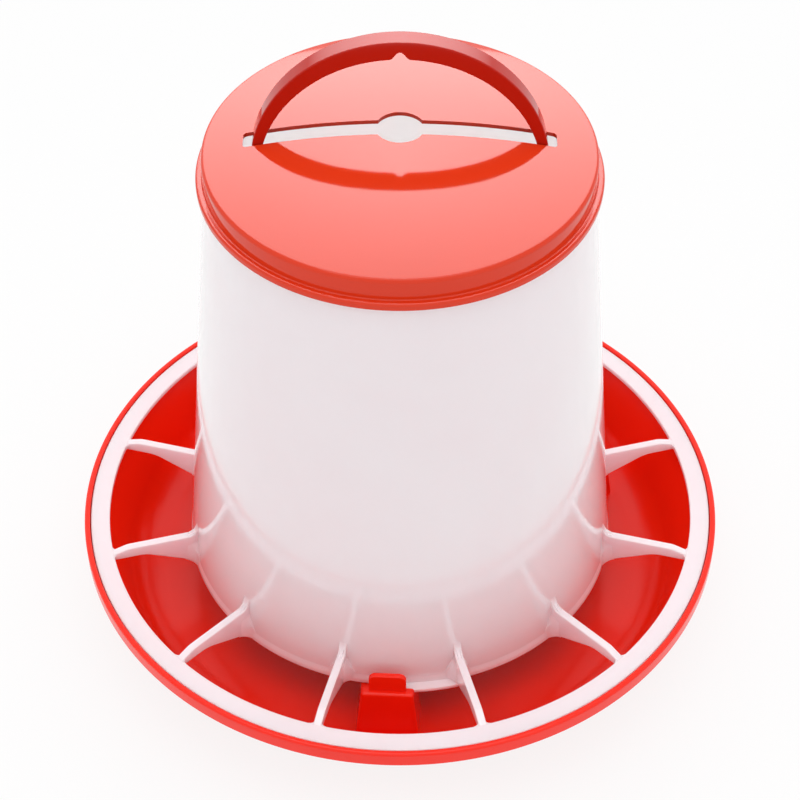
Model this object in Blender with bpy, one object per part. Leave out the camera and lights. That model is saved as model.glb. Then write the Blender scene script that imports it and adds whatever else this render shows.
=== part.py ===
"""Poultry feeder: a red feed tray, a white hopper with a moulded grille, a handle and a slotted lid.

Metres, +Z up. The origin is the centre of the tray's underside, and -Y is the front.
"""

import math

import bmesh
import bpy
from mathutils import Matrix, Vector

MM = 0.001
SEGMENTS = 72
DOME_STEPS = 6
ARC_STEPS = 28
STUD_SIDES = 16
FLANGE_STEP = math.radians(2.5)
CREASE_ANGLE = math.radians(35.0)
MERGE_DISTANCE = 0.01 * MM
SEAT_GAP = 0.3 * MM

# Tray
TRAY_RADIUS = 135.0 * MM
TRAY_HEIGHT = 38.6 * MM
TRAY_WALL = 1.8 * MM
TRAY_FLOOR = 2.2 * MM
TRAY_WALL_SLOPE = math.radians(66.0)
TRAY_WALL_FILLET = 16.0 * MM
RIM_WIDTH = 2.4 * MM
RIM_LIP_DROP = 7.0 * MM
LEDGE_WIDTH = 4.2 * MM
CONE_HEIGHT = 40.0 * MM
CONE_FOOT_RADIUS = 60.0 * MM
CONE_TIP_RADIUS = 7.0 * MM
CONE_TIP_FILLET = 5.0 * MM
CONE_FOOT_FILLET = 12.0 * MM
LEDGE_FILLET = 0.8 * MM
RIM_FILLET = 1.3 * MM

# Hopper
HOPPER_RADIUS = 90.0 * MM
HOPPER_TOP_RADIUS = 73.0 * MM
HOPPER_SINK = 15.3 * MM
HOPPER_HEIGHT = 190.9 * MM
HOPPER_WALL = 1.6 * MM
HEM_HEIGHT = 2.4 * MM
HEM_PROUD = 0.5 * MM
EDGE_FILLET = 0.4 * MM
NECK_STEP = 2.5 * MM
NECK_HEIGHT = 7.6 * MM

# Grille of webs and their ring
RING_SINK = 0.6 * MM
RING_WIDTH = 8.0 * MM
RING_THICKNESS = 2.4 * MM
WEB_COUNT = 12
WEB_THICKNESS = 3.2 * MM
WEB_RISE = 2.0 * MM
WEB_DEPTH_AT_RING = 5.4 * MM
WEB_LEVEL_RUN = 13.0 * MM
WEB_ARCH_FILLET = 14.0 * MM
WEB_CREST_FILLET = 3.0 * MM

# Bayonet lugs of the tray, and the flanges of the hopper that turn in under them
LUG_COUNT = 3
LUG_AZIMUTH = math.radians(-3.0)
LUG_BLOCK_WIDTH = 21.0 * MM
LUG_BLOCK_DRAFT = 2.7 * MM
LUG_BLOCK_INNER = 5.0 * MM
LUG_BLOCK_OUTER = 8.6 * MM
LUG_BLOCK_FILLET = 1.2 * MM
LUG_WALL_RISE = 4.8 * MM
LUG_INSET = 0.6 * MM
LUG_TAB_WIDTH = 15.0 * MM
LUG_TAB_HEIGHT = 14.0 * MM
LUG_TAB_THICKNESS = 2.2 * MM
LUG_TAB_CORNER = 3.0 * MM
LUG_NOSE_HEIGHT = 3.0 * MM
LUG_STOP_WIDTH = 7.2 * MM
FLANGE_PROUD = 4.1 * MM
FLANGE_THICKNESS = 2.0 * MM
FLANGE_ARC = math.radians(17.5)
TWIST_PLAY = 0.4 * MM

# Lid
LID_PLAY = 0.7 * MM
LID_WALL = 1.6 * MM
LID_FLANGE_STEP = 2.5 * MM
LID_FLANGE_THICKNESS = 3.0 * MM
LID_EDGE_HEIGHT = 11.5 * MM
LID_DOME_RISE = 10.0 * MM
LID_EDGE_FILLET = 4.3 * MM
LID_FLANGE_FILLET = 1.1 * MM
SLOT_END_PLAY = 2.6 * MM
SLOT_SIDE_PLAY = 0.5 * MM
SLOT_HOLE_RADIUS = 9.0 * MM
SLOT_END_FILLET = 1.5 * MM

# Handle
HANDLE_INSET = 15.9 * MM
HANDLE_RISE = 60.9 * MM
HANDLE_LEG = 2.9 * MM
HANDLE_GRIP = 7.3 * MM
HANDLE_DEPTH = 7.3 * MM
HANDLE_NOTCH_WIDTH = 6.5 * MM
HANDLE_NOTCH_DEPTH = 3.0 * MM
HANDLE_EDGE = 0.6 * MM
FOOT_HEIGHT = 5.0 * MM
FOOT_STUD_RADIUS = 2.2 * MM
STUD_HOLE_PLAY = 0.4 * MM

RED = (0.86, 0.035, 0.01, 1.0)
WHITE = (0.87, 0.83, 0.84, 1.0)
GLOSS = 0.18
PAN_GLOSS = 0.3
HOPPER_GLOSS = 0.25


def clear_scene():
    """Remove every object that the scene holds."""
    for thing in list(bpy.data.objects):
        bpy.data.objects.remove(thing, do_unlink=True)


def plastic(name, colour, roughness):
    """A Principled material for moulded plastic."""
    material = bpy.data.materials.new(name)
    material.use_nodes = True
    shader = material.node_tree.nodes["Principled BSDF"]
    shader.inputs["Base Color"].default_value = colour
    shader.inputs["Roughness"].default_value = roughness
    shader.inputs["Metallic"].default_value = 0.0
    material.diffuse_color = colour
    return material


def rounded(corners):
    """A closed outline from (x, y, fillet radius, steps) corners."""
    points = []
    count = len(corners)
    for index, (x, y, radius, steps) in enumerate(corners):
        here = Vector((x, y))
        if radius <= 0.0:
            points.append(here)
            continue
        before = Vector(corners[index - 1][:2]) - here
        after = Vector(corners[(index + 1) % count][:2]) - here
        half = before.angle(after) / 2.0
        reach = min(radius / math.tan(half), 0.49 * before.length, 0.49 * after.length)
        radius = reach * math.tan(half)
        start = here + before.normalized() * reach
        end = here + after.normalized() * reach
        centre = here + (before.normalized() + after.normalized()).normalized() * (radius / math.sin(half))
        first = start - centre
        sweep = first.angle_signed(end - centre)
        for step in range(steps + 1):
            turn = Matrix.Rotation(-sweep * step / steps, 2)
            points.append(centre + turn @ first)
    return points


def new_object(name, mesh_maker):
    """An object whose mesh is filled in by a function that gets an empty bmesh."""
    mesh = bpy.data.meshes.new(name)
    bm = bmesh.new()
    mesh_maker(bm)
    bmesh.ops.recalc_face_normals(bm, faces=bm.faces)
    bm.to_mesh(mesh)
    bm.free()
    thing = bpy.data.objects.new(name, mesh)
    bpy.context.scene.collection.objects.link(thing)
    return thing


def turned(name, outline):
    """A solid of revolution about Z from a closed (radius, height) outline."""

    def fill(bm):
        ring = [bm.verts.new((point.x, 0.0, point.y)) for point in outline]
        edges = [bm.edges.new((a, b)) for a, b in zip(ring, ring[1:] + ring[:1])]
        bmesh.ops.spin(
            bm,
            geom=ring + edges,
            axis=(0.0, 0.0, 1.0),
            cent=(0.0, 0.0, 0.0),
            angle=math.tau,
            steps=SEGMENTS,
            use_merge=True,
        )
        bmesh.ops.remove_doubles(bm, verts=bm.verts, dist=MERGE_DISTANCE)
        axis = [e for e in bm.edges if all(v.co.xy.length < MERGE_DISTANCE for v in e.verts)]
        bmesh.ops.delete(bm, geom=axis, context="EDGES")

    return new_object(name, fill)


def prism(name, outline, place, depth):
    """A closed outline extruded by depth, where place(x, y, d) gives the corners."""

    def fill(bm):
        near = [bm.verts.new(place(point.x, point.y, -depth / 2.0)) for point in outline]
        face = bm.faces.new(near)
        grown = bmesh.ops.extrude_face_region(bm, geom=[face])
        far = [item for item in grown["geom"] if isinstance(item, bmesh.types.BMVert)]
        shift = Vector(place(0.0, 0.0, depth / 2.0)) - Vector(place(0.0, 0.0, -depth / 2.0))
        bmesh.ops.translate(bm, verts=far, vec=shift)

    return new_object(name, fill)


def radial_plate(name, outline, thickness, azimuth):
    """A plate in the upright plane at an azimuth, counted from the front towards +X."""
    out = Vector((math.sin(azimuth), -math.cos(azimuth), 0.0))
    side = Vector((math.cos(azimuth), math.sin(azimuth), 0.0))

    def place(radius, height, offset):
        return out * radius + side * offset + Vector((0.0, 0.0, height))

    return prism(name, outline, place, thickness)


def ring_sector(name, inner, outer, low, high, start, sweep):
    """A piece of a flat ring between two azimuths."""
    steps = max(2, round(sweep / FLANGE_STEP))
    angles = [start + sweep * step / steps for step in range(steps + 1)]
    outline = [Vector((math.sin(a) * outer, -math.cos(a) * outer)) for a in angles]
    outline += [Vector((math.sin(a) * inner, -math.cos(a) * inner)) for a in reversed(angles)]
    middle = (low + high) / 2.0

    def place(x, y, offset):
        return Vector((x, y, middle + offset))

    return prism(name, outline, place, high - low)


def combine(target, others, operation):
    """Join others to target, or cut them from it, and remove them."""
    for other in others:
        modifier = target.modifiers.new(other.name, "BOOLEAN")
        modifier.operation = operation
        modifier.solver = "EXACT"
        modifier.object = other
        bpy.context.view_layer.update()
        graph = bpy.context.evaluated_depsgraph_get()
        mesh = bpy.data.meshes.new_from_object(target.evaluated_get(graph))
        target.modifiers.remove(modifier)
        old = target.data
        target.data = mesh
        bpy.data.meshes.remove(old)
        bpy.data.objects.remove(other, do_unlink=True)


def finish(thing, material):
    """Give a piece its material, and smooth shading with sharp creases."""
    thing.data.materials.clear()
    thing.data.materials.append(material)
    thing.data.shade_smooth()
    thing.data.set_sharp_from_angle(angle=CREASE_ANGLE)


def lower(thing, drop):
    """Move the mesh down by drop, and the object up by as much, so that its origin is its seat."""
    thing.data.transform(Matrix.Translation((0.0, 0.0, -drop)))
    thing.location.z += drop


def ring_z():
    """Height of the top of the grille's ring, just below the tray's rim."""
    return TRAY_HEIGHT - RING_SINK


def ledge_z():
    """Height of the ledge in the tray that the grille's ring rests on."""
    return ring_z() - RING_THICKNESS - SEAT_GAP


def rim_inner():
    """Inner radius of the tray's rim."""
    return TRAY_RADIUS - RIM_WIDTH


def ring_outer():
    """Outer radius of the grille's ring."""
    return rim_inner() - SEAT_GAP


def bottom_z():
    """Height of the hopper's lower edge, sunk into the tray."""
    return TRAY_HEIGHT - HOPPER_SINK


def shoulder_z():
    """Height of the hopper's shoulder, which the lid sits on."""
    return bottom_z() + HOPPER_HEIGHT


def hopper_radius(height):
    """Outer radius of the hopper's cone at a height."""
    share = (height - bottom_z()) / HOPPER_HEIGHT
    return HOPPER_RADIUS + (HOPPER_TOP_RADIUS - HOPPER_RADIUS) * share


def flange_radius():
    """Outer radius of the hopper's bayonet flanges."""
    return HOPPER_RADIUS + FLANGE_PROUD


def flange_start():
    """Azimuth, from the lug's middle, of the end of a flange that lies under the lug."""
    half_tab = LUG_TAB_WIDTH / 2.0 / flange_radius()
    return -half_tab + (LUG_STOP_WIDTH + TWIST_PLAY) / flange_radius()


def neck_radius():
    """Outer radius of the hopper's neck, inside the lid."""
    return HOPPER_TOP_RADIUS - NECK_STEP


def lid_seat_z():
    """Height of the lid's lower edge, on the hopper's shoulder."""
    return shoulder_z() + SEAT_GAP


def lid_wall_radius():
    """Outer radius of the lid's wall, which fits over the hopper's neck."""
    return neck_radius() + LID_PLAY + LID_WALL


def lid_top_z():
    """Height of the top of the lid's dome, outside."""
    return lid_seat_z() + LID_EDGE_HEIGHT + LID_DOME_RISE


def tray_outline():
    """Section of the tray: cone, floor, sloped wall, ledge and lipped rim, then back underneath."""
    lean = 1.0 / math.tan(TRAY_WALL_SLOPE)
    ledge = ledge_z()
    ledge_in = rim_inner() - LEDGE_WIDTH
    foot = ledge_in - (ledge - TRAY_FLOOR) * lean
    skin = TRAY_WALL / math.sin(TRAY_WALL_SLOPE)
    under = ledge - TRAY_WALL
    lip = TRAY_HEIGHT - RIM_LIP_DROP
    cone_lean = math.atan2(CONE_HEIGHT - TRAY_FLOOR, CONE_FOOT_RADIUS - CONE_TIP_RADIUS)
    cone_skin = TRAY_WALL / math.sin(cone_lean)
    cone_foot = CONE_FOOT_RADIUS + TRAY_FLOOR / math.tan(cone_lean) - cone_skin
    cone_tip = CONE_TIP_RADIUS + TRAY_WALL / math.tan(cone_lean) - cone_skin
    return rounded(
        [
            (0.0, CONE_HEIGHT, 0.0, 0),
            (CONE_TIP_RADIUS, CONE_HEIGHT, CONE_TIP_FILLET, 2),
            (CONE_FOOT_RADIUS, TRAY_FLOOR, CONE_FOOT_FILLET, 2),
            (foot, TRAY_FLOOR, TRAY_WALL_FILLET, 4),
            (ledge_in, ledge, LEDGE_FILLET, 1),
            (rim_inner(), ledge, 0.0, 0),
            (rim_inner(), TRAY_HEIGHT, LEDGE_FILLET, 1),
            (TRAY_RADIUS, TRAY_HEIGHT, RIM_FILLET, 2),
            (TRAY_RADIUS, lip, EDGE_FILLET, 1),
            (TRAY_RADIUS - TRAY_WALL, lip, 0.0, 0),
            (TRAY_RADIUS - TRAY_WALL, under, 0.0, 0),
            (ledge_in + skin - TRAY_WALL * lean, under, 0.0, 0),
            (foot + skin - TRAY_FLOOR * lean, 0.0, TRAY_WALL_FILLET + TRAY_WALL, 3),
            (cone_foot, 0.0, 0.0, 0),
            (cone_tip, CONE_HEIGHT - TRAY_WALL, CONE_TIP_FILLET - TRAY_WALL, 1),
            (0.0, CONE_HEIGHT - TRAY_WALL, 0.0, 0),
        ]
    )


def lug_parts(index):
    """One bayonet lug: a drafted block with a front wall, a tab with a nose over the pocket, and a stop."""
    azimuth = LUG_AZIMUTH + index * math.tau / LUG_COUNT
    shelf = bottom_z() - SEAT_GAP
    pocket_top = bottom_z() + FLANGE_THICKNESS + SEAT_GAP
    tab_inner = flange_radius() + TWIST_PLAY
    tab_outer = tab_inner + LUG_TAB_THICKNESS
    nose_inner = HOPPER_RADIUS + HEM_PROUD + TWIST_PLAY
    block_outer = HOPPER_RADIUS + LUG_BLOCK_OUTER
    floor = TRAY_FLOOR / 2.0
    out = Vector((math.sin(azimuth), -math.cos(azimuth), 0.0))
    side = Vector((math.cos(azimuth), math.sin(azimuth), 0.0))

    def drafted(bm):
        top = shelf + LUG_WALL_RISE
        inner = HOPPER_RADIUS - LUG_BLOCK_INNER
        wall_inner = tab_inner + LUG_INSET / 2.0
        section = [
            (inner, floor),
            (block_outer + LUG_BLOCK_DRAFT, floor),
            (block_outer, top),
            (wall_inner, top),
            (wall_inner, shelf),
            (inner, shelf),
        ]
        rows = []
        for way in (-side, side):
            row = []
            for radius, height in section:
                half = LUG_BLOCK_WIDTH / 2.0 + LUG_BLOCK_DRAFT * (top - height) / (top - floor)
                row.append(bm.verts.new(out * radius + way * half + Vector((0.0, 0.0, height))))
            rows.append(row)
            bm.faces.new(row)
        left, right = rows
        for a, b in zip(range(-1, len(section)), range(len(section))):
            bm.faces.new((left[a], left[b], right[b], right[a]))
        crest = [bm.edges.get((left[2], right[2]))]
        for row in rows:
            crest += [bm.edges.get((row[1], row[2])), bm.edges.get((row[2], row[3]))]
        bmesh.ops.bevel(
            bm,
            geom=crest,
            offset=LUG_BLOCK_FILLET,
            segments=2,
            profile=0.5,
            affect="EDGES",
        )

    block = new_object("lug_block", drafted)

    half_tab = LUG_TAB_WIDTH / 2.0
    tab_top = shelf + LUG_TAB_HEIGHT
    tab_low = shelf - TRAY_FLOOR
    tab_outline = rounded(
        [
            (-half_tab, tab_low, 0.0, 0),
            (half_tab, tab_low, 0.0, 0),
            (half_tab, tab_top, LUG_TAB_CORNER, 4),
            (-half_tab, tab_top, LUG_TAB_CORNER, 4),
        ]
    )
    tab_middle = (tab_inner + tab_outer) / 2.0

    def tab_place(x, y, offset):
        return out * (tab_middle + offset) + side * x + Vector((0.0, 0.0, y))

    tab = prism("lug_tab", tab_outline, tab_place, LUG_TAB_THICKNESS)

    root = LUG_TAB_THICKNESS / 2.0
    nose_outline = [
        Vector((nose_inner, pocket_top)),
        Vector((tab_inner + root, pocket_top)),
        Vector((tab_inner + root, pocket_top + LUG_NOSE_HEIGHT + tab_inner - nose_inner)),
        Vector((tab_inner, pocket_top + LUG_NOSE_HEIGHT)),
        Vector((nose_inner, pocket_top + LUG_NOSE_HEIGHT / 3.0)),
    ]
    nose = radial_plate("lug_nose", nose_outline, LUG_TAB_WIDTH - 2.0 * LUG_INSET, azimuth)

    stop_middle = -half_tab + LUG_STOP_WIDTH / 2.0
    stop_inner = nose_inner + LUG_INSET / 2.0
    stop_outline = [
        (stop_inner, tab_low),
        (tab_inner + root, tab_low),
        (tab_inner + root, pocket_top + root),
        (stop_inner, pocket_top + root / 2.0),
    ]

    def stop_place(radius, height, offset):
        return out * radius + side * (stop_middle + offset) + Vector((0.0, 0.0, height))

    corners = [Vector(point) for point in stop_outline]
    stop = prism("lug_stop", corners, stop_place, LUG_STOP_WIDTH - LUG_INSET)
    return [block, tab, nose, stop]


def make_tray(material):
    """The red pan, with its spreading cone and its bayonet lugs, in one moulding."""
    tray = turned("tray", tray_outline())
    for index in range(LUG_COUNT):
        combine(tray, lug_parts(index), "UNION")
    finish(tray, material)
    return tray


def hopper_outline():
    """Section of the hopper: hemmed bottom edge, cone, shoulder and neck, and back inside."""
    neck_top = shoulder_z() + NECK_HEIGHT
    neck = neck_radius()
    inside_top = neck - HOPPER_WALL
    hem_top = bottom_z() + HEM_HEIGHT
    shoulder_in = shoulder_z() - HOPPER_WALL
    return rounded(
        [
            (HOPPER_RADIUS - HOPPER_WALL, bottom_z(), 0.0, 0),
            (HOPPER_RADIUS + HEM_PROUD, bottom_z(), EDGE_FILLET, 1),
            (hopper_radius(hem_top) + HEM_PROUD, hem_top, EDGE_FILLET, 1),
            (hopper_radius(hem_top + HEM_PROUD), hem_top + HEM_PROUD, 0.0, 0),
            (HOPPER_TOP_RADIUS, shoulder_z(), EDGE_FILLET, 1),
            (neck, shoulder_z(), 0.0, 0),
            (neck, neck_top, EDGE_FILLET, 1),
            (inside_top, neck_top, EDGE_FILLET, 1),
            (inside_top, shoulder_in, 0.0, 0),
            (hopper_radius(shoulder_in) - HOPPER_WALL, shoulder_in - NECK_STEP / 2.0, 0.0, 0),
        ]
    )


def web_outline():
    """Section of one web: level along the top, and arched down to the hopper's edge below."""
    top = ring_z() + WEB_RISE
    low = ring_z() - WEB_DEPTH_AT_RING + WEB_RISE
    ring_in = ring_outer() - RING_WIDTH
    buried = HOPPER_WALL / 2.0
    foot_z = bottom_z() + FLANGE_THICKNESS / 4.0
    return rounded(
        [
            (hopper_radius(foot_z) - buried, foot_z, 0.0, 0),
            (ring_in - WEB_LEVEL_RUN, low, WEB_ARCH_FILLET, 5),
            (ring_in + RING_WIDTH / 4.0, low, 0.0, 0),
            (ring_in + RING_WIDTH / 2.0, ring_z() - RING_THICKNESS / 2.0, 0.0, 0),
            (ring_in + RING_WIDTH / 3.0, ring_z() - RING_THICKNESS / 6.0, 0.0, 0),
            (ring_in - WEB_RISE, top, WEB_CREST_FILLET, 2),
            (hopper_radius(top) + WEB_RISE, top, WEB_CREST_FILLET, 3),
            (hopper_radius(top + 2.0 * WEB_RISE) - buried, top + 3.0 * WEB_RISE, 0.0, 0),
        ]
    )


def make_hopper(material):
    """The white moulding: hopper, webs, ring and bayonet flanges."""
    hopper = turned("hopper", hopper_outline())
    ring_in = ring_outer() - RING_WIDTH
    ring = turned(
        "ring",
        rounded(
            [
                (ring_in, ring_z() - RING_THICKNESS, 0.0, 0),
                (ring_outer(), ring_z() - RING_THICKNESS, 0.0, 0),
                (ring_outer(), ring_z(), EDGE_FILLET, 1),
                (ring_in, ring_z(), EDGE_FILLET, 1),
            ]
        ),
    )
    outline = web_outline()
    pitch = math.tau / WEB_COUNT
    webs = [
        radial_plate("web", outline, WEB_THICKNESS, pitch * (index + 0.5))
        for index in range(WEB_COUNT)
    ]
    combine(hopper, [ring] + webs, "UNION")
    flanges = [
        ring_sector(
            "flange",
            HOPPER_RADIUS - HOPPER_WALL / 2.0,
            flange_radius(),
            bottom_z() + HEM_PROUD / 4.0,
            bottom_z() + FLANGE_THICKNESS,
            LUG_AZIMUTH + flange_start() + index * math.tau / LUG_COUNT,
            FLANGE_ARC,
        )
        for index in range(LUG_COUNT)
    ]
    combine(hopper, flanges, "UNION")
    combine(hopper, [stud_cutter()], "DIFFERENCE")
    lower(hopper, bottom_z())
    finish(hopper, material)
    return hopper


def stud_z():
    """Height of the handle's studs, at the middle of the hopper's neck."""
    return shoulder_z() + NECK_HEIGHT / 2.0


def stud(name, start, length, radius):
    """A short round bar along X from start."""
    outline = [
        Vector((math.cos(a) * radius, math.sin(a) * radius))
        for a in (math.tau * step / STUD_SIDES for step in range(STUD_SIDES))
    ]

    def place(x, y, offset):
        return Vector((start + length / 2.0 + offset, x, stud_z() + y))

    return prism(name, outline, place, length)


def stud_cutter():
    """A bar through both sides of the neck, for the holes that the handle clips into."""
    reach = HOPPER_TOP_RADIUS
    return stud("stud_cutter", -reach, 2.0 * reach, FOOT_STUD_RADIUS + STUD_HOLE_PLAY)


def handle_radius():
    """Outer radius of the handle's arch, which stands inside the hopper's neck."""
    return neck_radius() - HANDLE_INSET


def handle_apex_z():
    """Height of the top of the handle's arch."""
    return shoulder_z() + HANDLE_RISE


def handle_outline():
    """Face of the handle: a crescent arch with a notch under its apex, and two turned-out feet."""
    outer = handle_radius()
    inner_radius = outer - HANDLE_LEG
    centre_out = handle_apex_z() - outer
    centre_in = handle_apex_z() - HANDLE_GRIP - inner_radius
    foot_end = neck_radius() - HOPPER_WALL - 2.0 * SEAT_GAP
    foot_low = stud_z() - FOOT_HEIGHT / 2.0
    foot_high = stud_z() + FOOT_HEIGHT / 2.0
    leg_top = max(foot_high + FOOT_HEIGHT / 3.0, centre_out)

    outer_start = math.asin(min(1.0, max(0.0, (leg_top - centre_out) / outer)))
    points = []
    for step in range(ARC_STEPS + 1):
        angle = outer_start + (math.pi - 2.0 * outer_start) * step / ARC_STEPS
        points.append(Vector((outer * math.cos(angle), centre_out + outer * math.sin(angle))))

    left_foot = [
        Vector((-outer, foot_high)),
        Vector((-foot_end, foot_high)),
        Vector((-foot_end, foot_low)),
        Vector((-inner_radius + HANDLE_GRIP / 4.0, foot_low)),
    ]
    right_foot = [Vector((-point.x, point.y)) for point in reversed(left_foot)]

    notch = HANDLE_NOTCH_WIDTH / 2.0
    inner_start = math.asin(min(1.0, max(0.0, (leg_top - centre_in) / inner_radius)))
    gap = math.asin(notch / inner_radius)
    half = ARC_STEPS // 2
    inner = []
    for step in range(half + 1):
        angle = math.pi - inner_start - (math.pi / 2.0 - inner_start - gap) * step / half
        inner.append(
            Vector((inner_radius * math.cos(angle), centre_in + inner_radius * math.sin(angle)))
        )
    apex = centre_in + inner_radius
    inner.append(Vector((-notch / 3.0, apex + HANDLE_NOTCH_DEPTH)))
    mirrored = [Vector((-point.x, point.y)) for point in reversed(inner)]
    return points + left_foot + inner + mirrored + right_foot


def make_handle(material):
    """The red arch that passes through the lid's slot and clips into the hopper's neck."""

    def place(x, y, offset):
        return Vector((x, offset, y))

    handle = prism("handle", handle_outline(), place, HANDLE_DEPTH)
    bevel = handle.modifiers.new("soft edges", "BEVEL")
    bevel.width = HANDLE_EDGE
    bevel.segments = 1
    bevel.limit_method = "ANGLE"
    bevel.angle_limit = CREASE_ANGLE
    graph = bpy.context.evaluated_depsgraph_get()
    mesh = bpy.data.meshes.new_from_object(handle.evaluated_get(graph))
    handle.modifiers.remove(bevel)
    handle.data = mesh

    root = handle_radius() + HANDLE_EDGE
    length = neck_radius() - root
    studs = [
        stud("stud_right", root, length, FOOT_STUD_RADIUS),
        stud("stud_left", -root - length, length, FOOT_STUD_RADIUS),
    ]
    combine(handle, studs, "UNION")
    lower(handle, stud_z())
    finish(handle, material)
    return handle


def lid_outline():
    """Section of the lid: shallow dome, rounded edge, wall and seating flange, and back inside."""
    seat = lid_seat_z()
    edge = seat + LID_EDGE_HEIGHT
    wall = lid_wall_radius()
    flange = wall + LID_FLANGE_STEP
    flange_top = seat + LID_FLANGE_THICKNESS
    dome = (wall ** 2 + LID_DOME_RISE ** 2) / (2.0 * LID_DOME_RISE)
    centre = edge + LID_DOME_RISE - dome

    def arc(radius, reach, count):
        return [
            (reach * step / count, centre + math.sqrt(radius ** 2 - (reach * step / count) ** 2), 0.0, 0)
            for step in range(count)
        ]

    upper = arc(dome, wall, DOME_STEPS)
    inner_wall = wall - LID_WALL
    under = dome - LID_WALL
    lower_skin = arc(under, inner_wall, DOME_STEPS // 2)
    inner_edge = centre + math.sqrt(under ** 2 - inner_wall ** 2)
    return rounded(
        upper
        + [
            (wall, edge, LID_EDGE_FILLET, 4),
            (wall, flange_top, 0.0, 0),
            (flange, flange_top, LID_FLANGE_FILLET, 2),
            (flange, seat, 0.0, 0),
            (inner_wall, seat, 0.0, 0),
            (inner_wall, inner_edge, LID_EDGE_FILLET - LID_WALL, 2),
        ]
        + list(reversed(lower_skin))
    )


def make_lid(material):
    """The red lid, with a slot for the handle and a round hole in its middle."""
    lid = turned("lid", lid_outline())
    half_length = handle_radius() + SLOT_END_PLAY
    half_width = HANDLE_DEPTH / 2.0 + SLOT_SIDE_PLAY
    slot_outline = rounded(
        [
            (-half_length, -half_width, SLOT_END_FILLET, 3),
            (half_length, -half_width, SLOT_END_FILLET, 3),
            (half_length, half_width, SLOT_END_FILLET, 3),
            (-half_length, half_width, SLOT_END_FILLET, 3),
        ]
    )
    middle = lid_top_z() - LID_DOME_RISE / 2.0
    depth = 4.0 * LID_DOME_RISE

    def place(x, y, offset):
        return Vector((x, y, middle + offset))

    slot = prism("slot_cutter", slot_outline, place, depth)
    steps = SEGMENTS // 2
    round_outline = [
        Vector((math.cos(a) * SLOT_HOLE_RADIUS, math.sin(a) * SLOT_HOLE_RADIUS))
        for a in (math.tau * (step + 0.5) / steps for step in range(steps))
    ]
    hole = prism("hole_cutter", round_outline, place, depth + LID_WALL)
    combine(slot, [hole], "UNION")
    combine(lid, [slot], "DIFFERENCE")
    lower(lid, lid_seat_z())
    finish(lid, material)
    return lid


def attach(child, parent):
    """Parent a piece to another one, and leave it where it is."""
    bpy.context.view_layer.update()
    child.parent = parent
    child.matrix_parent_inverse = parent.matrix_world.inverted()


def main():
    clear_scene()
    red_gloss = plastic("red gloss plastic", RED, GLOSS)
    red_pan = plastic("red tray plastic", RED, PAN_GLOSS)
    white = plastic("milky white plastic", WHITE, HOPPER_GLOSS)
    tray = make_tray(red_pan)
    hopper = make_hopper(white)
    handle = make_handle(red_gloss)
    lid = make_lid(red_gloss)
    attach(hopper, tray)
    attach(handle, hopper)
    attach(lid, hopper)


main()
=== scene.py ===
"""Poultry feeder: a red pan, a milky hopper with its feeding grille, an arch handle and a domed lid.

Metres, +Z up, with the origin in the middle of the pan's underside and the front towards -Y.
"""

import math

import bmesh
import bpy
from mathutils import Matrix, Vector


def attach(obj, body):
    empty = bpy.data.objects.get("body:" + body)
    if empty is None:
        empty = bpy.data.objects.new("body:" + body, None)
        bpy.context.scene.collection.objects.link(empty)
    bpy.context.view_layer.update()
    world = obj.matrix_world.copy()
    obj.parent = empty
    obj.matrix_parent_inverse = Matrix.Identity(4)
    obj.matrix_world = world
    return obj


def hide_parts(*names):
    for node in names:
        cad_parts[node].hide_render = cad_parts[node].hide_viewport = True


bl_info = {
    "name": "Poultry feeder",
    "version": (1, 0, 0),
    "blender": (4, 5, 0),
    "location": "3D View > Sidebar > Feeder",
    "description": "Models a hanging poultry feeder with its pan, hopper, handle and lid",
    "category": "Add Mesh",
}

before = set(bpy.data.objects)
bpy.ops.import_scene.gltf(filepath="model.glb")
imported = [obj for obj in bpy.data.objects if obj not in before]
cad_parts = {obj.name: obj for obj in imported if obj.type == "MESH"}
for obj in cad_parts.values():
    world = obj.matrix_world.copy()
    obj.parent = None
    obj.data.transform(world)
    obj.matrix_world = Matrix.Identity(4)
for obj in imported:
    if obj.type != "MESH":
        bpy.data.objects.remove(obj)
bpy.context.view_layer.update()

MM = 0.001
MERGE_DISTANCE = 0.000002
ROUND_STEPS = 240
CONE_ROWS = 24
STUD_SIDES = 32

# Running gaps between the pieces.
SEAT_GAP = 0.3 * MM
PLAY = 0.4 * MM

# The pattern round the feeder's axis.
LUGS = 3
LUG_TURN = math.tau / LUGS
WEBS = 12
WEB_TURN = math.tau / WEBS

# How fast the top of a web's rounded root falls along the wall and away from it.
WEB_ROOT_FADE = 2.3
WEB_ROOT_FALL = 0.6

# Creases sharper than these are bevelled, or stay sharp in the shading.
BEVEL_ANGLE = math.radians(40.0)
CREASE_ANGLE = math.radians(32.0)

PLASTIC_IOR = 1.5
WHITE = (1.0, 1.0, 1.0, 1.0)
WIDE_SPREAD = math.radians(180.0)
SOFT_SPREAD = math.radians(100.0)
SENSOR_WIDTH = 36.0


def length(name, description, value):
    """A size in metres that can be set in the sidebar."""
    return bpy.props.FloatProperty(
        name=name, description=description, default=value, min=0.0, precision=4, unit="LENGTH"
    )


def turn_angle(name, description, degrees):
    """An angle that can be set in the sidebar."""
    return bpy.props.FloatProperty(
        name=name, description=description, default=math.radians(degrees), subtype="ANGLE"
    )


def colour(name, description, value):
    """A linear colour that can be set in the sidebar."""
    return bpy.props.FloatVectorProperty(
        name=name, description=description, default=value, size=3, min=0.0, max=1.0, subtype="COLOR"
    )


def level(name, description, value, top=1.0):
    """A plain number that can be set in the sidebar."""
    return bpy.props.FloatProperty(name=name, description=description, default=value, min=0.0, max=top)


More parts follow.
